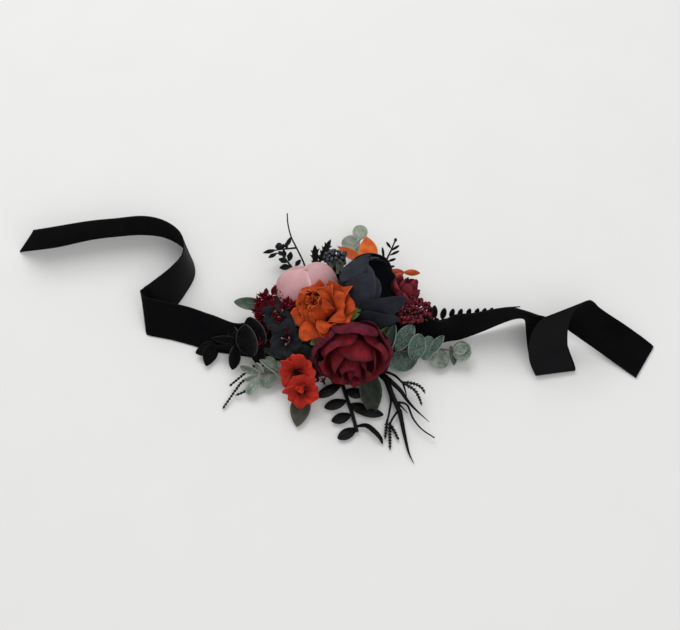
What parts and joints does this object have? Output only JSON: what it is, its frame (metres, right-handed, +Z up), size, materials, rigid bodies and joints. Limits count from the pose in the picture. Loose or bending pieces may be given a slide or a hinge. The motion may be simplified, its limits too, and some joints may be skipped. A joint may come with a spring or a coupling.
{
  "type": "wrist corsage",
  "caption": "Wrist corsage of paper and foam flowers and artificial foliage glued to a felt oval on a velvet ribbon tie, laid open on a table.",
  "frame": {"origin": "middle of the felt backing's underside, on the surface that the corsage lies on", "axes": "+X along the ribbon, +Y away from the wearer's hand side, +Z up out of the flowers"},
  "size_m": [0.4048, 0.1683, 0.0498],
  "materials": {
    "velvet": "black velvet pile with a satin back",
    "felt": "matt black wool felt",
    "hot_glue": "set clear hot glue, slightly cloudy",
    "burgundy_petal": "matt moulded foam petal, edges darker",
    "orange_petal": "crumpled mulberry paper",
    "charcoal_petal": "fine woven matt cloth",
    "pink_petal": "smooth matt foam petal",
    "red_blossom": "matt paper blossom",
    "anther": "waxy stamen threads with pale heads",
    "pip_red": "waxy burgundy pips",
    "berry_black": "glossy black berries",
    "eucalyptus_leaf": "powdery grey-green leaf with a pale rim",
    "sage_leaf": "pale powdery sage leaf",
    "deep_green_leaf": "matt green paper leaf",
    "olive_leaf": "matt olive paper leaf",
    "sepal_green": "matt green paper sepals and wrapped wire",
    "orange_leaf": "matt orange cloth leaf",
    "rust_leaf": "satin rust leaf",
    "black_leaf": "satin black moulded leaf"
  },
  "bodies": {
    "root": {"velvet_ribbon": "velvet", "felt_backing": "felt", "felt_pad": "felt", "black_fern_front": "black_leaf", "green_leaf_front": "deep_green_leaf", "black_needles_right": "black_leaf", "black_needles_left": "black_leaf", "eucalyptus_left": "eucalyptus_leaf", "eucalyptus_right": "eucalyptus_leaf", "velvet_leaf_spray": "black_leaf", "green_leaf_left": "deep_green_leaf", "olive_leaf_front": "olive_leaf", "dark_leaf_left": "deep_green_leaf", "black_fern_right": "black_leaf", "eucalyptus_back": "sage_leaf", "orange_leaves_back": "orange_leaf", "spiky_leaves_back": "black_leaf", "bud_sprig_back_left": "black_leaf", "black_sprig_back_right": "black_leaf", "rust_leaf_spray": "rust_leaf", "burgundy_pips_left": "pip_red", "burgundy_pips_right": "pip_red", "black_berries": "berry_black", "red_blossom_rear": "red_blossom", "red_blossom_rear_stamens": "anther", "red_blossom_front": "red_blossom", "red_blossom_front_stamens": "anther", "black_blossom_rear": "charcoal_petal", "black_blossom_rear_stamens": "anther", "black_blossom_left": "charcoal_petal", "black_blossom_left_stamens": "anther", "black_blossom_front": "charcoal_petal", "black_blossom_front_stamens": "anther", "burgundy_rose_calyx": "sepal_green", "burgundy_rose_outer_petals": "burgundy_petal", "burgundy_rose_middle_petals": "burgundy_petal", "burgundy_rose_inner_petals": "burgundy_petal", "orange_rose_calyx": "sepal_green", "orange_rose_outer_petals": "orange_petal", "orange_rose_middle_petals": "orange_petal", "orange_rose_inner_petals": "orange_petal", "black_peony_calyx": "sepal_green", "black_peony_outer_petals": "charcoal_petal", "black_peony_middle_petals": "charcoal_petal", "black_peony_inner_petals": "charcoal_petal", "pink_bud_calyx": "sepal_green", "pink_bud_outer_petals": "pink_petal", "pink_bud_inner_petals": "pink_petal", "small_rose_calyx": "sepal_green", "small_rose_outer_petals": "burgundy_petal", "small_rose_inner_petals": "burgundy_petal", "glue_bed": "hot_glue"}
  },
  "joints": []
}
